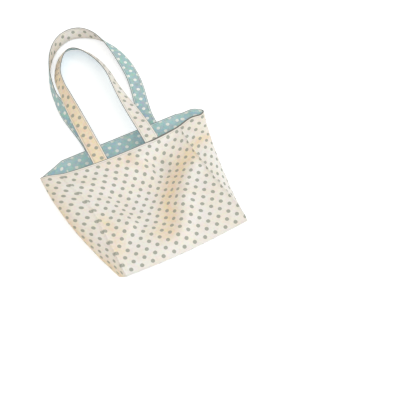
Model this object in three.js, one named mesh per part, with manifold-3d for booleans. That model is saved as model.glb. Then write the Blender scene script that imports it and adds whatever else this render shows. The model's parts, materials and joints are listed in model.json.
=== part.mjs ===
// Reversible canvas shoulder bag, lying on its back panel with both handles laid out past the mouth.
// Millimetres, +Z up. The origin is the middle of the back panel's underside. +X runs across the bag,
// +Y runs from the bag's bottom to its mouth and on to the handles.
import * as THREE from 'three';
import Module from 'manifold-3d';
import { mergeVertices } from 'three/addons/utils/BufferGeometryUtils.js';

const wasm = await Module();
wasm.setup();

// Cut sizes of the cloth
const panelWidth = 280;
const panelHeight = 300;
const gussetDepth = 115;
const strapWidth = 33;
const strapLength = 730;
const frontStrapSpacing = 121;
const rearStrapSpacing = 142;
const tabDepth = 24;
const hemHeight = 4;

// Cloth thicknesses and fits
const outerCloth = 1.2;
const liningCloth = 1.0;
const strapCloth = 1.0;
const seamWidth = 3;
const layerGap = 0.3;
const seamGap = 0.4;
const liningInset = 2;
const cornerGap = 0.8;
const hingeStandoff = 5;
const hingeGap = 0.25;
const padStart = 3;

// How the empty bag lies: heights above the surface, and shifts of the front against the back
const bottomLean = 47;
const bottomLift = 70;
const bottomBulge = 6;
const cornerBulge = 2;
const seamLiftAtMouth = 28;
const foldLiftAtMouth = 10;
const foldOutAtBottom = 1;
const foldSway = -13;
const cornerRoundness = 0.15;
const roundFrom = 0.6;
const middleLiftAtBottom = 60;
const middleLiftAtBelly = 52;
const middleLiftAtDip = 33;
const middleLiftAtMouth = 38;
const panelDraw = 10;
const mouthDraw = 1.5;
const mouthShift = -15;
const rimSag = 16;
const backInset = 1;

// Folds of the front panel, each a soft ridge or hollow along a line. Places are measured across from the
// left seam and down from the rim. They fade out at the panel's edges and under the sewn-in strap ends.
const ridge = { from: [140, 25], to: [158, 60], spread: 24, height: 6 };
const crease = { from: [190, 25], to: [182, 80], spread: 25, height: -16 };
const hollow = { from: [172, 90], to: [121, 171], spread: 50, height: -13 };
const shoulder = { from: [12, 26], to: [51, 30], spread: 37, height: 5 };
const foldFade = 25;

// How the two handles lie. Twists and turns are in degrees. A drift moves a loop sideways, and a rest is the
// height of the strap's low edge at the end of a leg.
const frontHandleCentre = -8;
const frontArchHalfWidth = 59.3;
const frontArchRise = 140.7;
const frontLegDrift = -4.2;
const frontArchDrift = 4.5;
const frontLeftTwist = 55;
const frontRightTwist = 58.7;
const frontApexTwist = 53.3;
const frontTwistEnd = 58;
const frontLeftRest = 35;
const frontRightRest = 10.5;
const frontRestEnd = 52;
const rearHandleCentre = 4;
const rearArchHalfWidth = 94;
const rearArchRise = 170;
const rearArchDrift = 7.5;
const rearLeftTwist = 73;
const rearRightTwist = 14;
const rearApexTwist = 97.7;
const rearTwistEnd = 80;
const twistPower = 1.35;
const floorClearance = 0.8;

const creamCanvas = new THREE.MeshStandardMaterial({ color: 0xece6d8, roughness: 0.92, metalness: 0 });
const tealCanvas = new THREE.MeshStandardMaterial({ color: 0x9cc3bb, roughness: 0.92, metalness: 0 });
const seamCanvas = new THREE.MeshStandardMaterial({ color: 0xf4f0e6, roughness: 0.85, metalness: 0 });

const { clamp, lerp, smoothstep, degToRad } = THREE.MathUtils;
const bag = new THREE.Group();
const halfWidth = panelWidth / 2;
const halfHeight = panelHeight / 2;
const halfDepth = gussetDepth / 2;
const liningTop = outerCloth + layerGap;
const shellThickness = liningTop + liningCloth;
const hemStart = 1 - hemHeight / panelHeight;
const panelEnd = hemStart - layerGap / panelHeight;
const seamTrim = seamWidth + seamGap;
const bottomDepth = Math.hypot(middleLiftAtBottom, bottomLean);
const backSeamX = halfWidth - backInset;

// The bag's edges. side is -1 on the left and 1 on the right, and t runs 0 to 1 from bottom to mouth.

const frontRun = Math.sqrt(panelHeight ** 2 - (bottomLift - seamLiftAtMouth) ** 2);

function frontSeam(side, t) {
  const half = halfWidth - lerp(panelDraw, mouthDraw, smoothstep(t, 0.6, 1));
  return new THREE.Vector3(
    side * half + mouthShift * smoothstep(t, 0.55, 1),
    -halfHeight - bottomLean + frontRun * t,
    lerp(bottomLift, seamLiftAtMouth, Math.max(t, 0) ** 1.3),
  );
}

function backSeam(side, t) {
  return new THREE.Vector3(side * backSeamX, -halfHeight + panelHeight * t, 0);
}

// Gusset section at height t: q runs 0 to 1 from the front seam round the fold to the back seam.
// Near the bottom it is almost straight, and towards the mouth it is a flat fold with a round nose.
function gussetSection(side, q, t) {
  const front = frontSeam(side, t);
  const sway = foldSway * 4 * t * (1 - t);
  const foldX = side * lerp(backSeamX + foldOutAtBottom, halfWidth + halfDepth, t) + sway;
  const foldZ = lerp(bottomLift / 2, foldLiftAtMouth, t);
  const roundness = lerp(cornerRoundness, 1, smoothstep(t, 0, roundFrom));
  if (q < 0.5) {
    const turn = q * Math.PI;
    const x = lerp(2 * q, Math.sin(turn), roundness);
    const z = lerp(1 - 2 * q, Math.cos(turn), roundness);
    return [lerp(front.x, foldX, x), lerp(foldZ, front.z, z)];
  }
  const reach = Math.abs(foldX) - backSeamX;
  const nose = Math.min(foldZ, 0.8 * reach);
  const noseShare = (nose + foldZ) / (foldZ + reach);
  const along = 2 * q - 1;
  const turn = Math.min(along / noseShare, 1) * Math.PI / 2;
  const flat = Math.max(along - noseShare, 0) / (1 - noseShare);
  const inset = nose * (1 - Math.cos(turn)) + (reach - nose) * flat;
  const x = foldX - side * lerp(reach * along, inset, roundness);
  return [x, foldZ * lerp(1 - along, 1 - Math.sin(turn), roundness)];
}

const sectionSteps = 40;
const sectionLengths = new Map();

// Share of the section's length that lies before each of its steps
function lengthShares(side, t) {
  const key = `${side} ${t}`;
  if (!sectionLengths.has(key)) {
    const lengths = [0];
    for (let i = 1; i <= sectionSteps; i += 1) {
      const [x0, z0] = gussetSection(side, (i - 1) / sectionSteps, t);
      const [x1, z1] = gussetSection(side, i / sectionSteps, t);
      lengths.push(lengths[i - 1] + Math.hypot(x1 - x0, z1 - z0));
    }
    sectionLengths.set(key, lengths.map((length) => length / lengths[sectionSteps]));
  }
  return sectionLengths.get(key);
}

// Gusset wall: w runs 0 to 1 round the section in even lengths
function gusset(side, w, t) {
  const shares = lengthShares(side, t);
  let step = 0;
  while (step < sectionSteps - 1 && shares[step + 1] < w) step += 1;
  const q = (step + (w - shares[step]) / (shares[step + 1] - shares[step])) / sectionSteps;
  const [x, z] = gussetSection(side, q, t);
  const puff = cornerBulge * 4 * w * (1 - w) * (1 - t) ** 3;
  return new THREE.Vector3(x, lerp(frontSeam(side, t).y, backSeam(side, t).y, w) - puff, z);
}

// Height of the front panel's middle line above the surface
function middleLift(t) {
  const belly = lerp(middleLiftAtBottom, middleLiftAtBelly, smoothstep(t, 0, 0.35));
  const dip = lerp(belly, middleLiftAtDip, smoothstep(t, 0.35, 0.65));
  return lerp(dip, middleLiftAtMouth, smoothstep(t, 0.65, 1));
}

function foldHeight({ from, to, spread, height }, x, y) {
  const [runX, runY] = [to[0] - from[0], to[1] - from[1]];
  const [fromX, fromY] = [x - from[0], y - from[1]];
  const along = clamp((fromX * runX + fromY * runY) / (runX ** 2 + runY ** 2), 0, 1);
  const away = Math.hypot(fromX - along * runX, fromY - along * runY);
  return height * Math.exp(-((away / spread) ** 2));
}

function foldLift(u, t) {
  const x = (u + 1) * halfWidth;
  const y = (1 - t) * panelHeight;
  const fadeAcross = smoothstep(Math.min(x, panelWidth - x), 0, foldFade);
  const fadeDown = smoothstep(y, tabDepth, 2.5 * tabDepth) * smoothstep(panelHeight - y, 0, foldFade);
  const lift = [ridge, crease, hollow, shoulder].reduce((sum, fold) => sum + foldHeight(fold, x, y), 0);
  return lift * fadeAcross * fadeDown;
}

// Front panel: u runs -1 to 1 from its left seam to its right seam
function frontPanel(u, t) {
  const left = frontSeam(-1, t);
  const right = frontSeam(1, t);
  const bow = 1 - Math.abs(u) ** 2.2;
  return new THREE.Vector3(
    lerp(left.x, right.x, (u + 1) / 2),
    left.y - rimSag * bow * t ** 2,
    lerp(left.z, middleLift(t), bow) + foldLift(u, t),
  );
}

function backPanel(u, t) {
  return new THREE.Vector3(u * backSeamX, backSeam(1, t).y, 0);
}

// Bottom panel: s runs 0 to 1 from its back edge up to its front edge
function bottomPanel(u, s) {
  const left = gusset(-1, 1 - s, 0);
  const right = gusset(1, 1 - s, 0);
  return new THREE.Vector3(
    lerp(left.x, right.x, (u + 1) / 2),
    left.y - bottomBulge * (1 - u * u) * 4 * s * (1 - s),
    left.z * frontPanel(u, 0).z / bottomLift,
  );
}

// Solids from surfaces. facing is 1 where the surface's first direction cross its second points out.

function normalAt(surface, u, v, facing) {
  const step = 1e-3;
  const alongU = surface(u + step, v).sub(surface(u - step, v));
  const alongV = surface(u, v + step).sub(surface(u, v - step));
  return alongU.cross(alongV).normalize().multiplyScalar(facing);
}

function signedVolume(positions, indices) {
  const [a, b, c] = [new THREE.Vector3(), new THREE.Vector3(), new THREE.Vector3()];
  let volume = 0;
  for (let i = 0; i < indices.length; i += 3) {
    a.fromArray(positions, indices[i] * 3);
    b.fromArray(positions, indices[i + 1] * 3);
    c.fromArray(positions, indices[i + 2] * 3);
    volume += a.dot(b.cross(c));
  }
  return volume;
}

// A closed solid between two layers of grid points, given as pointAt(share along, share across, layer)
function closedGrid(rows, columns, pointAt) {
  const positions = [];
  const indices = [];
  const corner = (layer, i, j) => (layer * (rows + 1) + i) * (columns + 1) + j;
  const quad = (a, b, c, d) => indices.push(a, b, c, a, c, d);
  for (let layer = 0; layer < 2; layer += 1) {
    for (let i = 0; i <= rows; i += 1) {
      for (let j = 0; j <= columns; j += 1) positions.push(...pointAt(i / rows, j / columns, layer));
    }
  }
  for (let i = 0; i < rows; i += 1) {
    for (let j = 0; j < columns; j += 1) {
      quad(corner(0, i, j), corner(0, i + 1, j), corner(0, i + 1, j + 1), corner(0, i, j + 1));
      quad(corner(1, i, j), corner(1, i, j + 1), corner(1, i + 1, j + 1), corner(1, i + 1, j));
    }
    quad(corner(0, i, 0), corner(1, i, 0), corner(1, i + 1, 0), corner(0, i + 1, 0));
    quad(corner(0, i, columns), corner(0, i + 1, columns), corner(1, i + 1, columns), corner(1, i, columns));
  }
  for (let j = 0; j < columns; j += 1) {
    quad(corner(0, 0, j), corner(0, 0, j + 1), corner(1, 0, j + 1), corner(1, 0, j));
    quad(corner(0, rows, j), corner(1, rows, j), corner(1, rows, j + 1), corner(0, rows, j + 1));
  }
  if (signedVolume(positions, indices) < 0) indices.reverse();
  const geometry = new THREE.BufferGeometry();
  geometry.setAttribute('position', new THREE.Float32BufferAttribute(positions, 3));
  geometry.setIndex(indices);
  return geometry;
}

// Cloth between two depths under a surface. Its grid lines are those of the whole surface, cut short at
// the spans' ends, so that layers on one surface bend at the same lines.
function sheet(surface, facing, start, uSpan, vSpan, steps, depths) {
  return closedGrid(steps[0], steps[1], (a, b, layer) => {
    const u = clamp(lerp(start, 1, a), uSpan[0], uSpan[1]);
    const v = clamp(b, vSpan[0], vSpan[1]);
    return surface(u, v).addScaledVector(normalAt(surface, u, v, facing), -depths[layer]);
  });
}

function addPiece(name, geometry, material) {
  geometry.computeVertexNormals();
  const mesh = new THREE.Mesh(geometry, material);
  mesh.name = name;
  bag.add(mesh);
}

function toManifold(geometry) {
  const bare = new THREE.BufferGeometry();
  bare.setAttribute('position', geometry.getAttribute('position').clone());
  bare.setIndex(geometry.getIndex().clone());
  const merged = mergeVertices(bare, 1e-4);
  return new wasm.Manifold(new wasm.Mesh({
    numProp: 3,
    vertProperties: new Float32Array(merged.getAttribute('position').array),
    triVerts: new Uint32Array(merged.getIndex().array),
  }));
}

function cutBy(geometry, cutters) {
  const solid = cutters.reduce((rest, cutter) => rest.subtract(toManifold(cutter)), toManifold(geometry));
  const mesh = solid.getMesh();
  const cut = new THREE.BufferGeometry();
  cut.setAttribute('position', new THREE.Float32BufferAttribute(mesh.vertProperties, 3));
  cut.setIndex(Array.from(mesh.triVerts));
  return cut;
}

// The four upright walls, each with the span of its first direction from seam to seam

const gussetWall = (side) => ({
  surface: (w, t) => gusset(side, w, t),
  facing: side,
  start: 0,
  width: bottomDepth,
  steps: [14, 12],
});

const walls = {
  front_panel: { surface: frontPanel, facing: 1, start: -1, width: panelWidth, steps: [20, 24] },
  back_panel: { surface: backPanel, facing: -1, start: -1, width: panelWidth, steps: [2, 2] },
  left_gusset: gussetWall(-1),
  right_gusset: gussetWall(1),
};

function wallSheet(wall, from, to, depths) {
  const share = seamTrim / wall.width * (1 - wall.start);
  const steps = [wall.steps[0], to > hemStart ? 1 : wall.steps[1]];
  const across = [wall.start + share, 1 - share];
  return sheet(wall.surface, wall.facing, wall.start, across, [from, to], steps, depths);
}

// Hinge lines. Each handle turns about a line just past the rim, on the upper face of its sewn-in ends.

function acrossWall(wallName, x) {
  if (wallName === 'back_panel') return x / backSeamX;
  const left = frontSeam(-1, 1).x;
  return (x - left) / (frontSeam(1, 1).x - left) * 2 - 1;
}

function hingeOf(wallName, inward, centre, spacing) {
  const legs = [centre - spacing / 2, centre + spacing / 2];
  const edges = legs.flatMap((x) => [x - strapWidth / 2, x, x + strapWidth / 2]);
  const rim = edges.map((x) => walls[wallName].surface(acrossWall(wallName, x), 1));
  const rimHeight = rim.reduce((sum, point) => sum + point.z, 0) / rim.length;
  const tabFace = inward < 0 ? liningTop : liningTop + strapCloth;
  return {
    wallName,
    inward,
    centre,
    spacing,
    legs,
    rimHeight,
    y: Math.max(...rim.map((point) => point.y)) + hingeStandoff,
    z: rimHeight + inward * tabFace + layerGap / 2,
  };
}

const frontHinge = hingeOf('front_panel', -1, frontHandleCentre, frontStrapSpacing);
const rearHinge = hingeOf('back_panel', 1, rearHandleCentre, rearStrapSpacing);

// A strap end, sewn in under the outer cloth and drawn out straight to the hinge line
function strapTab(hinge, x, spare) {
  const wall = walls[hinge.wallName];
  const half = strapWidth / 2 + spare;
  const start = 1 - (tabDepth + spare) / panelHeight;
  const sewnRows = 5;
  const depths = [liningTop - spare, liningTop + strapCloth + spare];
  return closedGrid(4, sewnRows + 1, (a, b, layer) => {
    const row = Math.round(b * (sewnRows + 1));
    const atX = lerp(x - half, x + half, a);
    if (row > sewnRows) {
      return new THREE.Vector3(atX, hinge.y - hingeGap, hinge.rimHeight + hinge.inward * depths[layer]);
    }
    const u = acrossWall(hinge.wallName, atX);
    const t = lerp(start, 1, row / sewnRows);
    return wall.surface(u, t).addScaledVector(normalAt(wall.surface, u, t, wall.facing), -depths[layer]);
  });
}

function tabCutters(wallName) {
  const hinges = [frontHinge, rearHinge].filter((hinge) => hinge.wallName === wallName);
  return hinges.flatMap((hinge) => hinge.legs.map((x) => strapTab(hinge, x, layerGap)));
}

function addWalls() {
  for (const [name, wall] of Object.entries(walls)) {
    const cutters = tabCutters(name);
    const from = seamTrim / panelHeight;
    const outer = wallSheet(wall, from, panelEnd, [0, outerCloth]);
    const lining = wallSheet(wall, from, panelEnd, [liningTop, shellThickness]);
    const hem = wallSheet(wall, hemStart, 1, [0, shellThickness]);
    addPiece(`outer_${name}`, outer, creamCanvas);
    addPiece(`lining_${name}`, cutters.length ? cutBy(lining, cutters) : lining, tealCanvas);
    addPiece(`mouth_hem_${name}`, cutters.length ? cutBy(hem, cutters) : hem, creamCanvas);
  }
}

function addBottom() {
  const steps = [12, 8];
  const across = 1 - 2 * seamTrim / panelWidth;
  const cut = (trim, depths) => {
    const up = trim / bottomDepth;
    return sheet(bottomPanel, 1, -1, [-across, across], [up, 1 - up], steps, depths);
  };
  addPiece('outer_bottom_panel', cut(seamTrim, [0, outerCloth]), creamCanvas);
  addPiece('lining_bottom_panel', cut(seamTrim + liningInset, [liningTop, shellThickness]), tealCanvas);
}

// Seams: a folded strip closes each corner where two panels are sewn together. It covers a narrow band of
// both panels, given as places(position along the seam, distance in from the edge).

function seamStrip(steps, from, to, banks) {
  const bankPoint = ({ surface, facing, place }, at, inset) => {
    const [u, v] = place(at, inset);
    return { point: surface(u, v), normal: normalAt(surface, u, v, facing) };
  };
  return closedGrid(steps, 2, (a, b, layer) => {
    const at = lerp(from, to, a);
    const depth = layer * outerCloth;
    if (b !== 0.5) {
      const { point, normal } = bankPoint(banks[b], at, seamWidth);
      return point.addScaledVector(normal, -depth);
    }
    const [first, second] = banks.map((bank) => bankPoint(bank, at, 0));
    const middle = first.normal.add(second.normal).normalize();
    return first.point.addScaledVector(middle, -depth * Math.SQRT2);
  });
}

function addUprightSeams(side, name) {
  const steps = 16;
  const gussetSide = walls[`${name}_gusset`];
  const edgeOf = (panel) => ({ ...panel, place: (t, inset) => [side * (1 - 2 * inset / panelWidth), t] });
  const frontFold = { ...gussetSide, place: (t, inset) => [inset / bottomDepth, t] };
  const backFold = { ...gussetSide, place: (t, inset) => [1 - inset / bottomDepth, t] };
  addPiece(`seam_front_${name}`, seamStrip(steps, 0, 1, [edgeOf(walls.front_panel), frontFold]), seamCanvas);
  addPiece(`seam_back_${name}`, seamStrip(steps, 0, 1, [edgeOf(walls.back_panel), backFold]), seamCanvas);
}

function addBottomSeams() {
  const clear = 2 * seamTrim / panelWidth;
  const clearDeep = (seamTrim + cornerGap) / bottomDepth;
  const foot = (wall) => ({ ...wall, place: (u, inset) => [u, inset / panelHeight] });
  const bottom = { surface: bottomPanel, facing: 1 };
  const frontEdge = { ...bottom, place: (u, inset) => [u, 1 - inset / bottomDepth] };
  const backEdge = { ...bottom, place: (u, inset) => [u, inset / bottomDepth] };
  const ends = [clear - 1, 1 - clear];
  addPiece('seam_bottom_front', seamStrip(12, ...ends, [foot(walls.front_panel), frontEdge]), seamCanvas);
  addPiece('seam_bottom_back', seamStrip(12, ...ends, [foot(walls.back_panel), backEdge]), seamCanvas);
  for (const [side, name] of [[-1, 'left'], [1, 'right']]) {
    const sideEdge = { ...bottom, place: (w, inset) => [side * (1 - 2 * inset / panelWidth), 1 - w] };
    const banks = [foot(walls[`${name}_gusset`]), sideEdge];
    addPiece(`seam_bottom_${name}`, seamStrip(8, clearDeep, 1 - clearDeep, banks), seamCanvas);
  }
}

// Handles. h runs -1 to 1 from the left strap end over the arch to the right strap end.

function archLength(halfSpan, rise) {
  return Math.PI / 2 * (3 * (halfSpan + rise) - Math.sqrt((3 * halfSpan + rise) * (halfSpan + 3 * rise)));
}

function makeLoop(hinge, lie) {
  const arch = archLength(lie.archHalfWidth, lie.archRise);
  const leg = (strapLength - arch) / 2;
  const legShare = 2 * leg / strapLength;
  const halfPair = strapCloth + layerGap / 2;
  const edgeLift = (twist) => strapWidth / 2 * Math.sin(twist) + halfPair * Math.abs(Math.cos(twist));
  const sideOf = (h) => (h < 0 ? lie.left : lie.right);
  const turnAt = (h) => Math.max(1 - Math.abs(h) - legShare, 0) / (1 - legShare) * Math.PI / 2;

  function twistAt(h) {
    const side = sideOf(h);
    const reach = 1 - Math.abs(h);
    if (reach < legShare) return degToRad(side.twist * (Math.max(reach, 0) / legShare) ** twistPower);
    return degToRad(lerp(side.twist, lie.apexTwist, smoothstep(turnAt(h), 0, degToRad(lie.twistEnd))));
  }

  function centre(h) {
    const onLeg = Math.min((1 - Math.abs(h)) / legShare, 1);
    const turn = turnAt(h);
    const spread = smoothstep(onLeg, 0, 1);
    const half = lerp(hinge.spacing / 2, lie.archHalfWidth, spread);
    const drift = lie.legDrift * spread + lie.archDrift * Math.sin(turn);
    const y = hinge.y + leg * onLeg + lie.archRise * Math.sin(turn);
    const rest = lerp(sideOf(h).rest, floorClearance, smoothstep(turn, 0, degToRad(lie.restEnd)));
    const lift = lerp(hinge.z, edgeLift(twistAt(h)) + rest, smoothstep(onLeg, 0, lie.landsAt));
    return new THREE.Vector3(hinge.centre + drift + Math.sign(h) * half * Math.cos(turn), y, lift);
  }

  function frame(h) {
    const step = 1e-3;
    const tangent = centre(h + step).sub(centre(h - step)).normalize();
    const twist = twistAt(h);
    const outward = new THREE.Vector3(-tangent.y, tangent.x, 0).normalize();
    const up = outward.clone().cross(tangent).multiplyScalar(-1);
    const normal = up.multiplyScalar(Math.cos(twist)).addScaledVector(outward, Math.sin(twist));
    return { normal, across: tangent.clone().cross(normal) };
  }

  return { leg, legShare, centre, frame };
}

// One strip of strap cloth, above (1) or below (-1) the handle's middle plane
function strapStrip(loop, level, startGap) {
  const steps = 48;
  const limit = 1 - startGap / loop.leg * loop.legShare;
  const heights = [layerGap / 2, layerGap / 2 + strapCloth];
  return closedGrid(steps, 1, (a, b, layer) => {
    const h = clamp(lerp(-1, 1, a), -limit, limit);
    const { normal, across } = loop.frame(h);
    return loop.centre(h)
      .addScaledVector(across, (b - 0.5) * strapWidth)
      .addScaledVector(normal, level * heights[layer]);
  });
}

function addHandles() {
  const front = makeLoop(frontHinge, {
    archHalfWidth: frontArchHalfWidth,
    archRise: frontArchRise,
    legDrift: frontLegDrift,
    archDrift: frontArchDrift,
    apexTwist: frontApexTwist,
    twistEnd: frontTwistEnd,
    left: { twist: frontLeftTwist, rest: frontLeftRest },
    right: { twist: frontRightTwist, rest: frontRightRest },
    restEnd: frontRestEnd,
    landsAt: 1,
  });
  const rear = makeLoop(rearHinge, {
    archHalfWidth: rearArchHalfWidth,
    archRise: rearArchRise,
    legDrift: 0,
    archDrift: rearArchDrift,
    apexTwist: rearApexTwist,
    twistEnd: rearTwistEnd,
    left: { twist: rearLeftTwist, rest: floorClearance },
    right: { twist: rearRightTwist, rest: floorClearance },
    restEnd: rearTwistEnd,
    landsAt: 0.4,
  });
  addPiece('front_handle_outer_strip', strapStrip(front, 1, padStart), creamCanvas);
  addPiece('front_handle_inner_strip', strapStrip(front, -1, hingeGap), tealCanvas);
  addPiece('rear_handle_inner_strip', strapStrip(rear, 1, padStart), tealCanvas);
  addPiece('rear_handle_outer_strip', strapStrip(rear, -1, hingeGap), creamCanvas);
}

function addTabs() {
  const ends = [[frontHinge, 'front', tealCanvas], [rearHinge, 'rear', creamCanvas]];
  for (const [hinge, handle, material] of ends) {
    hinge.legs.forEach((x, i) => {
      addPiece(`${handle}_${['left', 'right'][i]}_strap_tab`, strapTab(hinge, x, 0), material);
    });
  }
}

addWalls();
addBottom();
addUprightSeams(-1, 'left');
addUprightSeams(1, 'right');
addBottomSeams();
addTabs();
addHandles();

export default bag;
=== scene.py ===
"""Canvas shoulder bag, lying on its back panel with both handles laid out past the mouth.

Lengths are in millimetres up to the point where a mesh is made, and the frame is that of the CAD model:
+X across the bag, +Y from the bottom to the mouth and the handles, +Z up through the front panel.
"""

import json
import math

import bpy
import numpy as np
from mathutils import Matrix, Vector


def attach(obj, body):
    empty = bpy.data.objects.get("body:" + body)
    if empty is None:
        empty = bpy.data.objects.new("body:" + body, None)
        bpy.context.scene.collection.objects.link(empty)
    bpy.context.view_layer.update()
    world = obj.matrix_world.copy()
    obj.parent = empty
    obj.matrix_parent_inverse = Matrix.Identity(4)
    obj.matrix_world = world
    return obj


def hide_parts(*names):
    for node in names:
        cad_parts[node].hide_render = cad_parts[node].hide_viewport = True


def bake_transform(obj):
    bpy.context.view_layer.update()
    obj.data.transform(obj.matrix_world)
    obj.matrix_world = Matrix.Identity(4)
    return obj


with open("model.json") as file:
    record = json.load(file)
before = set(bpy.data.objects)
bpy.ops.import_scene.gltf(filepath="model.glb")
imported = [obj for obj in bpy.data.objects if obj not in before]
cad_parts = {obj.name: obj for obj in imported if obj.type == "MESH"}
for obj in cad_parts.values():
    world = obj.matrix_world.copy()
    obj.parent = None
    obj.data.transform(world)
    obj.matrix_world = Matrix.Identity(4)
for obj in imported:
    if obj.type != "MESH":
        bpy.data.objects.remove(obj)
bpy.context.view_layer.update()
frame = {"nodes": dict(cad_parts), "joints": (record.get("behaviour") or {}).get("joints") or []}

MM = 0.001

# Sizes of the bag, the same as in the CAD source
PANEL_WIDTH = 280.0
PANEL_HEIGHT = 300.0
GUSSET_DEPTH = 115.0
STRAP_WIDTH = 33.0
STRAP_LENGTH = 730.0
FRONT_STRAP_SPACING = 121.0
REAR_STRAP_SPACING = 142.0
TAB_DEPTH = 24.0
BOTTOM_LEAN = 47.0
BOTTOM_LIFT = 70.0
BOTTOM_BULGE = 6.0
CORNER_BULGE = 2.0
SEAM_LIFT_AT_MOUTH = 28.0
FOLD_LIFT_AT_MOUTH = 10.0
FOLD_OUT_AT_BOTTOM = 1.0
FOLD_SWAY = -13.0
CORNER_ROUNDNESS = 0.15
ROUND_FROM = 0.6
NOSE_LIMIT = 0.8
MIDDLE_LIFT_AT_BOTTOM = 60.0
MIDDLE_LIFT_AT_BELLY = 52.0
MIDDLE_LIFT_AT_DIP = 33.0
MIDDLE_LIFT_AT_MOUTH = 38.0
PANEL_DRAW = 10.0
MOUTH_DRAW = 1.5
MOUTH_SHIFT = -15.0
RIM_SAG = 16.0
BACK_INSET = 1.0
SHELL_THICKNESS = 2.5

# What the cloth does beyond the CAD's smoother surfaces. Each shift of a gusset's rim is (axis, reach, place round
# the gusset, spread, height from which it grows), the last three as shares of the gusset's width and height.
RIGHT_SEAM_DRAW = 8.0
RIGHT_FOLD_OUT = 6.0
RIM_SHIFTS = {
    "left": [(2, 2.0, 0.6, 0.15, 0.86)],
    "right": [(2, 10.0, 0.7, 0.15, 0.86), (1, -9.0, 0.44, 0.14, 0.6), (1, 3.0, 0.76, 0.13, 0.6)],
}

HALF_WIDTH = PANEL_WIDTH / 2
HALF_HEIGHT = PANEL_HEIGHT / 2
BACK_SEAM_X = HALF_WIDTH - BACK_INSET
FRONT_RUN = math.sqrt(PANEL_HEIGHT**2 - (BOTTOM_LIFT - SEAM_LIFT_AT_MOUTH) ** 2)


def lerp(a, b, t):
    return a + (b - a) * t


def smooth(value, low, high):
    x = np.clip((value - low) / (high - low), 0, 1)
    return x * x * (3 - 2 * x)


def bump(value, middle, spread):
    return np.exp(-(((value - middle) / spread) ** 2))


def unit(v):
    return v / np.maximum(np.linalg.norm(v, axis=-1, keepdims=True), 1e-12)


def value_noise(x, y, cell, seed):
    """Soft random bumps between -1 and 1, a cell apart, and the same on every run."""
    table = np.random.RandomState(seed).uniform(-1, 1, (64, 64))
    x, y = np.asarray(x) / cell, np.asarray(y) / cell
    i, j = np.floor(x).astype(int), np.floor(y).astype(int)
    fx, fy = x - i, y - j
    fx, fy = fx * fx * (3 - 2 * fx), fy * fy * (3 - 2 * fy)
    at = lambda a, b: table[a % 64, b % 64]
    low = lerp(at(i, j), at(i + 1, j), fx)
    high = lerp(at(i, j + 1), at(i + 1, j + 1), fx)
    return lerp(low, high, fy)


# Folds of the front panel: soft ridges and hollows, each (spread, height, places along its line). Places are
# measured across from the left seam and down from the rim, in millimetres of cloth. The main ones are the CAD's.

MAIN_FOLDS = [
    (24, 6.0, (140, 25), (158, 60)),
    (22, -14.0, (199, 26), (195, 80)),
    (50, -13.0, (172, 90), (121, 171)),
    (37, 5.0, (12, 26), (51, 30)),
]

FINE_FOLDS = [
    (13, 6.0, (156, 10), (174, 72)),
    (30, -5.0, (228, 34), (228, 66)),
    (30, -3.0, (252, 14), (262, 45)),
    (16, 4.0, (42, 110), (60, 190)),
    (18, -5.0, (64, 100), (84, 195)),
    (34, 4.0, (63, 190), (105, 262)),
    (24, 9.0, (285, 114), (250, 120), (219, 144), (198, 176), (176, 215), (150, 250)),
    (20, -1.5, (20, 250), (60, 225)),
]

# Distances over which folds fade: in from the sides and the bottom, and down from the rim
FOLD_FADE = 25.0
MAIN_FADE = (TAB_DEPTH, 2.5 * TAB_DEPTH)
FINE_FADE = (2.0, 22.0)


def fold_height(folds, x, y):
    total = np.zeros(np.broadcast(x, y).shape)
    for spread, height, *line in folds:
        away = np.inf  # from the nearest place on the line
        for (x0, y0), (x1, y1) in zip(line[:-1], line[1:]):
            run = np.array([x1 - x0, y1 - y0], float)
            along = np.clip(((x - x0) * run[0] + (y - y0) * run[1]) / (run @ run), 0, 1)
            away = np.minimum(away, np.hypot(x - x0 - along * run[0], y - y0 - along * run[1]))
        total = total + height * bump(away, 0.0, spread)
    return total


# Painted warm shade along the creases and on walls turned from the key light, in the same form; height is how much
PAINTED_SHADE_LINES = {
    "front": [
        (24, 0.95, (285, 84), (240, 92), (200, 116), (176, 150), (156, 184), (132, 222), (120, 240)),
        (13, 0.4, (140, 20), (154, 58)),
        (17, 0.6, (10, 160), (24, 200), (8, 240)),
        (22, 0.25, (90, 10), (130, 24)),
    ],
    "left": [(27, 0.95, (76, 0), (70, 120), (62, 300)), (24, 0.75, (30, 292), (60, 280))],
    "right": [(14, 0.9, (0, 70), (60, 80)), (20, 0.4, (50, 8), (70, 20))],
    "back": [(60, 0.5, (140, 150), (60, 240))],
    "bottom": [(40, 0.6, (30, 60), (200, 90))],
}


def front_folds(u, t):
    x, y = (u + 1) * HALF_WIDTH, (1 - t) * PANEL_HEIGHT
    sides = smooth(np.minimum(x, PANEL_WIDTH - x), 0, FOLD_FADE) * smooth(PANEL_HEIGHT - y, 0, FOLD_FADE)
    main = fold_height(MAIN_FOLDS, x, y) * smooth(y, *MAIN_FADE)
    fine = fold_height(FINE_FOLDS, x, y) * smooth(y, *FINE_FADE)
    return (main + fine) * sides


# Surfaces of the bag. u or w runs across a panel and t from the bottom to the mouth.


def front_seam(side, t):
    half = HALF_WIDTH - lerp(PANEL_DRAW, MOUTH_DRAW, smooth(t, 0.6, 1))
    if side > 0:
        half = half - RIGHT_SEAM_DRAW * smooth(t, 0.1, 0.5) * (1 - smooth(t, 0.7, 1))
    x = side * half + MOUTH_SHIFT * smooth(t, 0.55, 1)
    y = -HALF_HEIGHT - BOTTOM_LEAN + FRONT_RUN * t
    z = lerp(BOTTOM_LIFT, SEAM_LIFT_AT_MOUTH, np.maximum(t, 0) ** 1.3)
    return np.stack(np.broadcast_arrays(x, y, z), -1)


def back_seam(side, t):
    return np.stack(np.broadcast_arrays(side * BACK_SEAM_X, -HALF_HEIGHT + PANEL_HEIGHT * t, 0.0 * t), -1)


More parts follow.
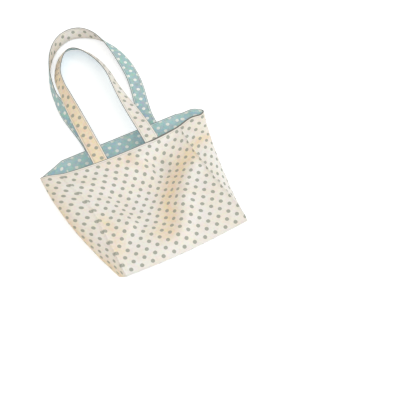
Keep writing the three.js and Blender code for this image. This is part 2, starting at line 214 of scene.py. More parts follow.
def middle_lift(t):
    belly = lerp(MIDDLE_LIFT_AT_BOTTOM, MIDDLE_LIFT_AT_BELLY, smooth(t, 0, 0.35))
    dip = lerp(belly, MIDDLE_LIFT_AT_DIP, smooth(t, 0.35, 0.65))
    return lerp(dip, MIDDLE_LIFT_AT_MOUTH, smooth(t, 0.65, 1))


def front_panel(u, t):
    left, right = front_seam(-1, t), front_seam(1, t)
    bow = 1 - np.abs(u) ** 2.2
    x = lerp(left[..., 0], right[..., 0], (u + 1) / 2)
    y = left[..., 1] - RIM_SAG * bow * np.maximum(t, 0) ** 2
    z = lerp(left[..., 2], middle_lift(t), bow) + front_folds(u, t)
    return np.stack(np.broadcast_arrays(x, y, z), -1)


def back_panel(u, t):
    return np.stack(np.broadcast_arrays(u * BACK_SEAM_X, -HALF_HEIGHT + PANEL_HEIGHT * t, 0.0 * u * t), -1)


def gusset_section(side, q, t):
    """x and z across the gusset at height t. q runs 0 to 1 from the front seam over the fold to the back seam."""
    front = front_seam(side, t)
    fold_x = side * lerp(BACK_SEAM_X + FOLD_OUT_AT_BOTTOM, HALF_WIDTH + GUSSET_DEPTH / 2, t)
    fold_x += FOLD_SWAY * 4 * t * (1 - t)
    fold_z = lerp(BOTTOM_LIFT / 2, FOLD_LIFT_AT_MOUTH, t)
    roundness = lerp(CORNER_ROUNDNESS, 1, smooth(t, 0, ROUND_FROM))
    # From the front seam down to the fold
    turn = q * math.pi
    x_front = lerp(front[0], fold_x, lerp(2 * q, np.sin(turn), roundness))
    z_front = lerp(fold_z, front[2], lerp(1 - 2 * q, np.cos(turn), roundness))
    # Round the fold's nose, then flat on the surface to the back seam
    reach = abs(fold_x) - BACK_SEAM_X
    nose = min(fold_z, NOSE_LIMIT * reach)
    nose_share = (nose + fold_z) / (fold_z + reach)
    along = 2 * q - 1
    nose_turn = np.minimum(along / nose_share, 1) * math.pi / 2
    flat = np.maximum(along - nose_share, 0) / (1 - nose_share)
    inset = nose * (1 - np.cos(nose_turn)) + (reach - nose) * flat
    x_back = fold_x - side * lerp(reach * along, inset, roundness)
    z_back = fold_z * lerp(1 - along, 1 - np.sin(nose_turn), roundness)
    return np.where(q < 0.5, x_front, x_back), np.where(q < 0.5, z_front, z_back)


SECTION_STEPS = 241
section_cache = {}


def gusset_row(side, t):
    """Table of the gusset's section at height t: shares of its length, and x and z there."""
    key = (side, round(float(t), 7))
    if key not in section_cache:
        q = np.linspace(0, 1, SECTION_STEPS)
        x, z = gusset_section(side, q, float(t))
        length = np.concatenate([[0], np.cumsum(np.hypot(np.diff(x), np.diff(z)))])
        section_cache[key] = (length / length[-1], x, z)
    return section_cache[key]


def gusset(side, w, t):
    """w runs 0 to 1 across the gusset's cloth, in even lengths, from the front seam to the back seam."""
    w, t = np.broadcast_arrays(np.asarray(w, float), np.asarray(t, float))
    x, z = np.empty(w.shape), np.empty(w.shape)
    for value in np.unique(t):
        rows = t == value
        shares, section_x, section_z = gusset_row(side, value)
        at = np.clip(w[rows], 0, 1)
        x[rows] = np.interp(at, shares, section_x)
        z[rows] = np.interp(at, shares, section_z)
    front_y, back_y = front_seam(side, t)[..., 1], back_seam(side, t)[..., 1]
    spread = 4 * w * (1 - w)
    y = lerp(front_y, back_y, w) - CORNER_BULGE * spread * np.maximum(1 - t, 0) ** 3
    return np.stack([x, y, z], -1)


def bottom_panel(u, s):
    """s runs 0 to 1 from the front panel's bottom edge to the back panel's."""
    left, right = gusset(-1, 1 - s, 0 * s), gusset(1, 1 - s, 0 * s)
    x = lerp(left[..., 0], right[..., 0], (u + 1) / 2)
    y = left[..., 1] - BOTTOM_BULGE * (1 - u * u) * 4 * s * (1 - s)
    z = left[..., 2] * front_panel(u, 0.0 * u)[..., 2] / BOTTOM_LIFT
    return np.stack([x, y, z], -1)


def normals_of(points, facing):
    """Unit normals of a grid of points, rows first."""
    across = np.gradient(points, axis=1)
    along = np.gradient(points, axis=0)
    return unit(np.cross(across, along)) * facing


def normal_at(surface, u, t, facing):
    step = 1e-3
    across = surface(u + step, t) - surface(u - step, t)
    along = surface(u, t + step) - surface(u, t - step)
    return unit(np.cross(across, along)) * facing


# Meshes


def make_object(name, points, faces, material, uvs=None, smooth_shading=True, marks=None):
    """points and uvs are in millimetres. There is a uv for each face corner, and a mark for each point."""
    mesh = bpy.data.meshes.new(name)
    mesh.from_pydata((np.asarray(points) * MM).tolist(), [], faces)
    if uvs is not None:
        layer = mesh.uv_layers.new(name="cloth")
        layer.data.foreach_set("uv", (np.asarray(uvs) * MM).ravel())
    for label, values in (marks or {}).items():
        mesh.attributes.new(label, "FLOAT", "POINT").data.foreach_set("value", np.asarray(values, float).ravel())
    mesh.materials.append(material)
    mesh.polygons.foreach_set("use_smooth", [smooth_shading] * len(mesh.polygons))
    mesh.update()
    made = bpy.data.objects.new(name, mesh)
    bpy.context.scene.collection.objects.link(made)
    return made


WELD_DISTANCE = 0.02


class Patchwork:
    """Collects grids of points with their cloth places, and joins them where their edges meet."""

    def __init__(self):
        self.points, self.faces, self.uvs, self.marks, self.count = [], [], [], [], 0

    def add(self, points, cloth, marks, flip=False):
        rows, columns = points.shape[:2]
        index = self.count + np.arange(rows * columns).reshape(rows, columns)
        quads = np.stack([index[:-1, :-1], index[:-1, 1:], index[1:, 1:], index[1:, :-1]], -1).reshape(-1, 4)
        if flip:
            quads = quads[:, ::-1]
        flat_cloth = cloth.reshape(-1, 2)
        self.points.append(points.reshape(-1, 3))
        self.faces.extend(quads.tolist())
        self.uvs.append(flat_cloth[(quads - self.count).ravel()])
        self.marks.append(marks)
        self.count += rows * columns

    def build(self, name, material):
        points = np.concatenate(self.points)
        keys = {}
        first = np.empty(len(points), int)
        kept = []
        for i, key in enumerate(map(tuple, np.round(points / WELD_DISTANCE).astype(int).tolist())):
            if key not in keys:
                keys[key] = len(kept)
                kept.append(i)
            first[i] = keys[key]
        faces = [[int(first[v]) for v in face] for face in self.faces]
        marks = {label: np.concatenate([m[label].ravel() for m in self.marks])[kept] for label in self.marks[0]}
        return make_object(name, points[kept], faces, material, np.concatenate(self.uvs), marks=marks)


def grid(columns, rows):
    """Shares across and along for a grid of points."""
    return np.meshgrid(np.linspace(0, 1, columns + 1), np.linspace(0, 1, rows + 1))


# Faces across and up a panel, and across a gusset
ACROSS = 140
UP = 150
ROUND = 60
RIM_STEPS = 4
RIM_RADIUS = 1.2
PINCH_HEIGHT = 2.6
PINCH_WIDTH = 4.5
PINCH_POWER = 1.6
PINCH_FADE_AT_MOUTH = 0.6
RIPPLE_HEIGHT = 0.7
RIPPLE_CELL = 26


def with_rim(points, normals, cloth):
    """Adds rows that roll the cloth's top edge over towards the middle of the wall."""
    tangent = unit(points[-1] - points[-2])
    rows, places = [points], [cloth]
    for i in range(1, RIM_STEPS + 1):
        turn = i / RIM_STEPS * math.pi / 2
        step = tangent * RIM_RADIUS * math.sin(turn) - normals[-1] * RIM_RADIUS * (1 - math.cos(turn))
        rows.append((points[-1] + step)[None])
        place = cloth[-1].copy()
        place[..., 1] += RIM_RADIUS * turn
        places.append(place[None])
    return np.concatenate(rows), np.concatenate(places)


# Painted shade along the rim's turned edge is widened by RIM_SHADE, and at the right end by RIM_SHADE_AT_RIGHT more,
# where it paints the shadow under the front rim
RIM_SHADE = 0.8
RIM_SHADE_AT_RIGHT = 2.6
FAR_FROM_EDGE = 9.0


def wall_marks(name, cloth):
    """How far each place is from the rim, and how much painted warm shade it gets there.

    The shader paints shade on what lies at or past the edge, and at the rim's right end this painted shadow reaches
    further down.
    """
    x, down = cloth[..., 0], PANEL_HEIGHT - cloth[..., 1]
    at_right = {"front": smooth(x, 185, 215), "right": 1 - smooth(x, 60, 75)}.get(name, 0.0 * x)
    from_rim = down - RIM_SHADE - RIM_SHADE_AT_RIGHT * at_right
    from_edge = np.full(x.shape, FAR_FROM_EDGE) if name == "bottom" else np.minimum(from_rim, FAR_FROM_EDGE)
    return {"from_edge": from_edge, "painted_shade": np.clip(fold_height(PAINTED_SHADE_LINES[name], x, down), 0, 1)}


def even_lengths(points, axis):
    """Share of the cloth's length that lies before each point, along one direction of the grid."""
    steps = np.linalg.norm(np.diff(points, axis=axis), axis=-1)
    start = np.zeros_like(np.take(steps, [0], axis=axis))
    lengths = np.concatenate([start, np.cumsum(steps, axis=axis)], axis=axis)
    return lengths / np.take(lengths, [-1], axis=axis)


def wall_grids():
    """Points, outward normals and cloth places of every wall."""
    across, up = grid(ACROSS, UP)
    round_the_fold, up_gusset = grid(ROUND, UP)
    u = across * 2 - 1
    front = front_panel(u, up)
    front_place = (even_lengths(front, 1) * PANEL_WIDTH, even_lengths(front, 0) * PANEL_HEIGHT)
    back = back_panel(u, up)
    walls = {
        "front": [front, normals_of(front, 1), *front_place],
        "back": [back, normals_of(back, -1), across * PANEL_WIDTH, up * PANEL_HEIGHT],
    }
    for side, name in ((-1, "left"), (1, "right")):
        points = gusset(side, round_the_fold, up_gusset)
        normals = normals_of(points, side)
        x = round_the_fold * GUSSET_DEPTH
        ripple = RIPPLE_HEIGHT * value_noise(x + 200 * side, up_gusset * PANEL_HEIGHT, RIPPLE_CELL, 5)
        ripple *= smooth(x, 0, 20) * smooth(GUSSET_DEPTH - x, 0, 20) * smooth(up_gusset, 0, 0.1)
        points = points + normals * np.maximum(ripple, 0.0)[..., None]
        for axis, reach, at, spread, grows_from in RIM_SHIFTS[name]:
            points[..., axis] += reach * bump(round_the_fold, at, spread) * smooth(up_gusset, grows_from, 1)
        if name == "right":
            at_fold = np.sin(math.pi * round_the_fold) ** 2
            points[..., 0] += RIGHT_FOLD_OUT * at_fold * 4 * up_gusset * (1 - up_gusset)
        walls[name] = [points, normals_of(points, side), x, up_gusset * PANEL_HEIGHT]
    bottom_across, deep = grid(ACROSS, ROUND)
    bottom = bottom_panel(bottom_across * 2 - 1, deep)
    walls["bottom"] = [bottom, normals_of(bottom, 1), bottom_across * PANEL_WIDTH, deep * GUSSET_DEPTH]
    return {name: [p, n, np.stack([x, y], -1)] for name, (p, n, x, y) in walls.items()}


def pinch(walls):
    """Raises a narrow ridge along both front seams, where the panels are topstitched together."""
    front, front_normals, front_cloth = walls["front"]
    for side, name, column in ((-1, "left", 0), (1, "right", -1)):
        side_points, side_normals, side_cloth = walls[name]
        middle = unit(front_normals[:, column] + side_normals[:, 0])
        rows = np.linspace(0, 1, UP + 1)
        height = PINCH_HEIGHT * smooth(rows, 0.0, 0.06) * (1 - PINCH_FADE_AT_MOUTH * smooth(rows, 0.93, 1.0))
        for points, distance in (
            (front, np.abs(front_cloth[..., 0] - (0 if side < 0 else PANEL_WIDTH))),
            (side_points, side_cloth[..., 0]),
        ):
            share = np.clip(1 - distance / PINCH_WIDTH, 0, 1) ** PINCH_POWER
            points += (height[:, None] * share)[..., None] * middle[:, None]


# How far each lining piece is kept short of its wall's first and last row, and the wall's length between them
LINING_ENDS = {
    "front": (5.4, 0, PANEL_HEIGHT),
    "back": (1.4, 0, PANEL_HEIGHT),
    "left": (2.6, 0, PANEL_HEIGHT),
    "right": (2.6, 0, PANEL_HEIGHT),
    "bottom": (5.4, 1.4, GUSSET_DEPTH),
}
LINING_PRINT_SHIFT = np.array([7.0, 5.0])


def drawn_in(values, start, end, length):
    """Rows of a grid spaced again, so that they begin and end short of its first and last row."""
    last = len(values) - 1
    at = np.linspace(start / length * last, last - end / length * last, last + 1)
    low = np.minimum(at.astype(int), last - 1)
    share = (at - low).reshape(-1, 1, 1)
    return values[low] * (1 - share) + values[low + 1] * share


def build_shell(materials):
    walls = wall_grids()
    lining_walls = {name: [p.copy(), n, cloth] for name, (p, n, cloth) in walls.items()}
    pinch(walls)
    # 1 where the grid's own normal looks out of the bag
    facing = {"front": 1, "back": -1, "left": -1, "right": 1, "bottom": 1}
    outer, lining = Patchwork(), Patchwork()
    for name, (points, normals, cloth) in walls.items():
        flip, has_rim = facing[name] < 0, name != "bottom"
        if has_rim:
            points, cloth = with_rim(points, normals, cloth)
        outer.add(points, cloth, wall_marks(name, cloth), flip)
        inner, inner_normals, inner_cloth = (drawn_in(values, *LINING_ENDS[name]) for values in lining_walls[name])
        inner = inner - inner_normals * SHELL_THICKNESS
        if has_rim:
            inner, inner_cloth = with_rim(inner, -inner_normals, inner_cloth)
        lining.add(inner, inner_cloth + LINING_PRINT_SHIFT, wall_marks(name, inner_cloth), not flip)
    shell = outer.build("outer_shell", materials["cream"])
    inner_shell = lining.build("lining_shell", materials["teal"])
    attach(shell, "bag")
    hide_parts(*[n for n in frame["nodes"] if n.startswith(("outer_", "mouth_hem_", "seam_"))])
    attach(inner_shell, "bag")
    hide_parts(*[n for n in frame["nodes"] if n.startswith("lining_")])
    return walls, lining_walls


# Handles

STRIP_CLOTH = 1.15
EDGE_ROUNDING = 1.3
STITCH_INSET = 3.0
GROOVE_DEPTH = 0.3
GROOVE_WIDTH = 0.9
CROWN = 0.25
WOBBLE = 0.12
WOBBLE_CELL = 9
FLOOR_CLEARANCE = 0.8
TWIST_POWER = 1.35
STRAP_COLUMNS = 23
STRAP_ROWS = 260
LOOP_END = 0.9965
TAB_ROWS = 7
BRIDGE_SHARES = (0.25, 0.5, 0.75)
THIN_AT_TAB = 0.42


class Handle:
    """One strap laid in a loop. h runs -1 to 1 from its left end over the arch to its right end.

    twists say how far the strap stands up on its edge, in degrees, and rests how high that edge is over the surface.
    """

    def __init__(self, joint, spacing, half_width, rise, drifts, twists, twist_end, rests, rest_end, lands_at):
        found = next(j for j in frame["joints"] if j["name"] == joint)
        self.middle_x, self.hinge_y, self.hinge_z = (value / MM for value in found["pos_m"])
        self.spacing, self.half_width, self.rise = spacing, half_width, rise
        self.leg_drift, self.arch_drift = drifts
        self.left_twist, self.right_twist, self.apex_twist = twists
        self.left_rest, self.right_rest = rests
        self.twist_end, self.rest_end, self.lands_at = math.radians(twist_end), math.radians(rest_end), lands_at
        a, b = half_width, rise
        arch = math.pi / 2 * (3 * (a + b) - math.sqrt((3 * a + b) * (a + 3 * b)))
        self.leg = (STRAP_LENGTH - arch) / 2
        self.leg_share = 2 * self.leg / STRAP_LENGTH

    def turn(self, h):
        """Angle round the arch, from 0 where a leg ends to a right angle at the top."""
        reach = 1 - np.abs(h)
        return np.maximum(reach - self.leg_share, 0) / (1 - self.leg_share) * math.pi / 2

    def twist(self, h):
        reach = 1 - np.abs(h)
        side = np.where(h < 0, self.left_twist, self.right_twist)
        on_leg = side * (np.clip(reach, 0, None) / self.leg_share) ** TWIST_POWER
        on_arch = lerp(side, self.apex_twist, smooth(self.turn(h), 0, self.twist_end))
        return np.radians(np.where(reach < self.leg_share, on_leg, on_arch))

    def centre(self, h):
        on_leg = np.minimum((1 - np.abs(h)) / self.leg_share, 1)
        turn, twist = self.turn(h), self.twist(h)
        spread = smooth(on_leg, 0, 1)
        half = lerp(self.spacing / 2, self.half_width, spread)
        drift = self.leg_drift * spread + self.arch_drift * np.sin(turn)
        x = self.middle_x + drift + np.sign(h) * half * np.cos(turn)
        y = self.hinge_y + self.leg * on_leg + self.rise * np.sin(turn)
        edge = STRAP_WIDTH / 2 * np.sin(twist) + STRIP_CLOTH * np.abs(np.cos(twist))
        rest = lerp(np.where(h < 0, self.left_rest, self.right_rest), FLOOR_CLEARANCE, smooth(turn, 0, self.rest_end))
        z = lerp(self.hinge_z, edge + rest, smooth(on_leg, 0, self.lands_at))
        return np.stack([x, y, z], -1)

    def frames(self, h):
        """Direction along the strap, normal of its face, and direction across it."""
        step = 1e-3
        tangent = unit(self.centre(h + step) - self.centre(h - step))
        zero = np.zeros(len(h))
        outward = unit(np.stack([-tangent[:, 1], tangent[:, 0], zero], -1))
        up = -np.cross(outward, tangent)
        twist = self.twist(h)[:, None]
        normal = up * np.cos(twist) + outward * np.sin(twist)
        return tangent, normal, np.cross(tangent, normal)


def strap_end(handle, side, b, surface, facing, across_of, loop_row, loop_normals):
    """Rows of one sewn-in end, from its inner end to just short of the loop's own end row, with their normals."""
    u = across_of(handle.middle_x + side * handle.spacing / 2 - side * b)
    tab, tab_normals = [], []
    for back in np.linspace(0, TAB_DEPTH, TAB_ROWS):
        t = np.full(len(b), 1 - back / PANEL_HEIGHT)
        n = normal_at(surface, u, t, facing)
        tab.append(surface(u, t) - n * SHELL_THICKNESS / 2)
        tab_normals.append(n * facing)
    bridge = [lerp(tab[0], loop_row, share) for share in BRIDGE_SHARES]
    bridge_normals = [unit(lerp(tab_normals[0], loop_normals, share)) for share in BRIDGE_SHARES]
    return np.array(tab[::-1] + bridge), np.array(tab_normals[::-1] + bridge_normals)


def strap_rows(handle, *wall):
    """Rows of points across the whole strap, with normals, from one sewn-in end to the other."""
    b = np.linspace(-0.5, 0.5, STRAP_COLUMNS) * STRAP_WIDTH
    h = np.linspace(-LOOP_END, LOOP_END, STRAP_ROWS)
    _, normal, across = handle.frames(h)
    loop = handle.centre(h)[:, None] + across[:, None] * b[None, :, None]
    normals = np.repeat(normal[:, None], len(b), axis=1)
    left, left_normals = strap_end(handle, -1, b, *wall, loop[0], normals[0])
    right, right_normals = strap_end(handle, 1, b, *wall, loop[-1], normals[-1])
    points = np.concatenate([left, loop, right[::-1]])
    return points, np.concatenate([left_normals, normals, right_normals[::-1]]), b


def strip_profile(b):
    """Height of the strip's outer face over the strap's middle: rounded edges, a groove at each stitch line."""
    edge = STRAP_WIDTH / 2 - np.abs(b)
    round_over = np.sqrt(np.clip(1 - (1 - np.clip(edge / EDGE_ROUNDING, 0, 1)) ** 2, 0, 1))
    groove = GROOVE_DEPTH * bump(edge, STITCH_INSET, GROOVE_WIDTH)
    crown = CROWN * smooth(edge, 3.5, 12)
    return STRIP_CLOTH * round_over - groove + crown + 0.02


def build_strip(name, points, normals, b, level, material, thin, painted_shade):
    """One face of the strap: a closed body from the strap's middle out to the cloth's surface.

    level is 1 for the face that the strap's normals look out of, and -1 for the other.
    """
    rows = len(points)
    height = strip_profile(b)[None] * thin[:, None]
    arc = np.concatenate([[0], np.cumsum(np.linalg.norm(np.diff(points[:, len(b) // 2], axis=0), axis=1))])
    wobble = WOBBLE * value_noise(arc[:, None], b[None] + 40 * level, WOBBLE_CELL, 11)
    face = points + normals * (level * (height + wobble * thin[:, None]))[..., None]
    inner = points + normals * level * 0.01
    ring = np.concatenate([face, inner[:, [-1, 0]]], axis=1)
    columns = ring.shape[1]
    index = np.arange(rows * columns).reshape(rows, columns)
    following = np.roll(index, -1, axis=1)
    quads = np.stack([index[:-1], following[:-1], following[1:], index[1:]], -1).reshape(-1, 4)
    faces = quads.tolist() + [index[0, ::-1].tolist(), index[-1].tolist()]
    if level > 0:
        faces = [face_index[::-1] for face_index in faces]
    cloth_b = np.concatenate([b, [b[-1] + 1, b[0] - 1]])
    place = np.stack(np.broadcast_arrays(cloth_b[None] + STRAP_WIDTH / 2, arc[:, None]), -1).reshape(-1, 2)
    uvs = place[[v for face_index in faces for v in face_index]]
    # Marks for the shader: the edge distance is moved in a millimetre so painted shade darkens the strap's edges, and
    # painted warm shade fades out along the arch from the left end
    marks = {
        "from_edge": np.broadcast_to(np.maximum(STRAP_WIDTH / 2 - np.abs(cloth_b), 0) - 1.0, (rows, columns)),
        "painted_shade": np.broadcast_to(painted_shade * (1 - smooth(arc / arc[-1], 0.3, 0.55))[:, None], (rows, columns)),
    }
    made = make_object(name, ring.reshape(-1, 3), faces, material, uvs, marks=marks)
    return made, face


# Sections along a stitch: (place in its length, share of its thickness, lift out of the cloth in radii)
STITCH_SECTIONS = [(-0.5, 0.25, -0.5), (-0.36, 0.85, 0.25), (0.0, 1.0, 0.45), (0.36, 0.85, 0.25), (0.5, 0.25, -0.5)]
STITCH_SIDES = 6


def resample(path, normals, pitch):
    """Even steps along a path: points, directions and normals at each."""
    lengths = np.concatenate([[0], np.cumsum(np.linalg.norm(np.diff(path, axis=0), axis=1))])
    at = np.arange(pitch * 0.6, lengths[-1] - pitch * 0.5, pitch)
    pick = lambda values: np.stack([np.interp(at, lengths, values[:, i]) for i in range(3)], -1)
    ahead = np.stack([np.interp(at + 0.5, lengths, path[:, i]) for i in range(3)], -1)
    behind = np.stack([np.interp(at - 0.5, lengths, path[:, i]) for i in range(3)], -1)
    return pick(path), unit(ahead - behind), unit(pick(normals))


def build_stitches(name, paths, material, body, pitch=4.2, length=3.0, radius=0.32):
    """Thread stitches half sunk in the cloth along each path, given as (points, normals)."""
    sides = STITCH_SIDES
    points, faces = [], []
    for path, normals in paths:
        centres, along, up = resample(path, normals, pitch)
        side = np.cross(along, up)
        for c, a, n, s in zip(centres, along, up, side):
            base = len(points)
            for share, swell, lift in STITCH_SECTIONS:
                for k in range(sides):
                    angle = 2 * math.pi * k / sides
                    ring = (n * math.sin(angle) + s * math.cos(angle)) * radius * swell
                    points.append(c + a * share * length + n * lift * radius + ring)
            last = base + (len(STITCH_SECTIONS) - 1) * sides
            for start in range(base, last, sides):
                for k in range(sides):
                    p, q = start + k, start + (k + 1) % sides
                    faces.append([p, q, q + sides, p + sides])
            faces.append([base + k for k in range(sides)][::-1])
            faces.append([last + k for k in range(sides)])
    made = make_object(name, np.array(points), faces, material)
    if body:
        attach(made, body)
    return made


# How each handle lies. Drifts shift the legs' ends and the arch across, twists and rests are for the left leg and
# the right, and the third twist is for the top of the arch. The two ends are angles round the arch, in degrees.
HANDLES = {
    "front": {
        "joint": "front_handle_swing", "spacing": FRONT_STRAP_SPACING, "half_width": 59.3, "rise": 140.7,
        "drifts": (-4.2, 4.5), "twists": (55.0, 58.7, 53.3), "twist_end": 58.0,
        "rests": (35.0, 10.5), "rest_end": 52.0, "lands_at": 1.0,
    },
    "rear": {
        "joint": "rear_handle_swing", "spacing": REAR_STRAP_SPACING, "half_width": 94.0, "rise": 170.0,
        "drifts": (0.0, 7.5), "twists": (73.0, 14.0, 97.7), "twist_end": 80.0,
        "rests": (FLOOR_CLEARANCE, FLOOR_CLEARANCE), "rest_end": 80.0, "lands_at": 0.4,
    },
}


def front_across(x):
    left, right = front_seam(-1, np.float64(1.0))[0], front_seam(1, np.float64(1.0))[0]
    return (x - left) / (right - left) * 2 - 1


# How much painted warm shade each strap gets from its left end until it fades out along the arch; the left leg faces
# away from the key light
STRAP_PAINTED_SHADE = {"front": 1.0, "rear": 0.4}
STITCH_COLUMNS = (2, -3)
STITCH_START = 11


def build_handles(materials):
    walls = {
        "front": (front_panel, 1, front_across),
        "rear": (back_panel, -1, lambda x: x / BACK_SEAM_X),
    }
    faces = {
        "front": (("outer", 1, "cream"), ("inner", -1, "teal")),
        "rear": (("inner", 1, "teal"), ("outer", -1, "cream")),
    }
    for name, values in HANDLES.items():
        handle = Handle(**values)
        points, normals, b = strap_rows(handle, *walls[name])
        count = len(points)
        from_end = np.minimum(np.arange(count), np.arange(count)[::-1])
        thin = lerp(THIN_AT_TAB, 1.0, smooth(from_end, 5, 10))
        for label, level, colour in faces[name]:
            cloth = materials[f"{colour}_strap"]
            piece = f"{name}_handle_{label}_cloth"
            strip, face = build_strip(piece, points, normals, b, level, cloth, thin, STRAP_PAINTED_SHADE[name])
            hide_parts(f"{name}_handle_{label}_strip")
            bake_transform(strip)
            sewn = slice(STITCH_START, count - STITCH_START)
            lines = [(face[sewn, column], normals[sewn, column] * level) for column in STITCH_COLUMNS]
            stitches = build_stitches(f"{name}_handle_{label}_stitches", lines, materials["thread"], None)
            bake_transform(stitches)
            if level > 0:
                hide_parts(f"{name}_left_strap_tab", f"{name}_right_strap_tab")


RIM_STITCH_DEPTH = 5.0
SEAM_STITCH_COLUMN = 2
SEAM_STITCHED = slice(4, -6)


def build_seam_stitches(walls, lining_walls, materials):
    """Topstitching: round the mouth on both faces, and beside each front seam."""
    rim_row = int(UP * (1 - RIM_STITCH_DEPTH / PANEL_HEIGHT))
    outside, inside = [], []
    for name in ("front", "right", "back", "left"):
        points, normals, _ = walls[name]
        if name != "back":
            outside.append((points[rim_row], normals[rim_row]))
        base, base_normals, _ = lining_walls[name]
        inside.append((base[rim_row] - base_normals[rim_row] * SHELL_THICKNESS, -base_normals[rim_row]))
    build_stitches("rim_stitches_outside", outside, materials["thread"], "bag")
    build_stitches("rim_stitches_inside", inside, materials["thread"], "bag")
    seams = []
    for name, column in (
        ("front", SEAM_STITCH_COLUMN),
        ("front", ACROSS - SEAM_STITCH_COLUMN),
        ("left", SEAM_STITCH_COLUMN),
        ("right", SEAM_STITCH_COLUMN),
    ):
        points, normals, _ = walls[name]
        seams.append((points[SEAM_STITCHED, column], normals[SEAM_STITCHED, column]))
    build_stitches("seam_stitches", seams, materials["thread"], "bag")


# Materials


class Nodes:
    """Short calls for building a node tree."""

    def __init__(self, name):
        self.material = bpy.data.materials.new(name)
        self.material.use_nodes = True
        self.tree = self.material.node_tree
        self.tree.nodes.clear()

    def add(self, kind, inputs=None, **settings):
        node = self.tree.nodes.new(kind)
        for key, value in settings.items():
            setattr(node, key, value)
        for key, value in (inputs or {}).items():
            self.plug(node.inputs[key], value)
        return node

    def plug(self, socket, value):
        if isinstance(value, bpy.types.NodeSocket):
            self.tree.links.new(value, socket)
        else:
            socket.default_value = value

    def maths(self, operation, a, b=0.0, c=0.0, clamp=False):
        node = self.add("ShaderNodeMath", operation=operation, use_clamp=clamp)
        for socket, value in zip(node.inputs, (a, b, c)):
            self.plug(socket, value)
        return node.outputs[0]

    def vector(self, operation, a, b=(0.0, 0.0, 0.0)):
        node = self.add("ShaderNodeVectorMath", operation=operation)
        self.plug(node.inputs[0], a)
        self.plug(node.inputs[1], b)
        return node.outputs["Value"] if operation in ("LENGTH", "DISTANCE") else node.outputs["Vector"]

    def attribute(self, label):
        return self.add("ShaderNodeAttribute", attribute_name=label).outputs["Fac"]

    def noise(self, coordinates, scale, detail=2.0, roughness=0.5):
        inputs = {"Vector": coordinates, "Scale": scale, "Detail": detail, "Roughness": roughness}
        return self.add("ShaderNodeTexNoise", inputs).outputs["Fac"]

    def mix(self, factor, a, b, blend="MIX"):
        node = self.add("ShaderNodeMix", data_type="RGBA", blend_type=blend)
        for index, value in ((0, factor), (6, a), (7, b)):
            self.plug(node.inputs[index], value)
        return node.outputs[2]

    def ramp(self, value, low, high, to_low=0.0, to_high=1.0):
        inputs = {"Value": value, "From Min": low, "From Max": high, "To Min": to_low, "To Max": to_high}
        return self.add("ShaderNodeMapRange", inputs, interpolation_type="SMOOTHSTEP").outputs["Result"]


# The print: a dot at each corner and middle of a cell of this size
DOT_CELL = (24.1, 29.2)
DOT_SOFTNESS = 0.25
YARN_PITCH = 1.1


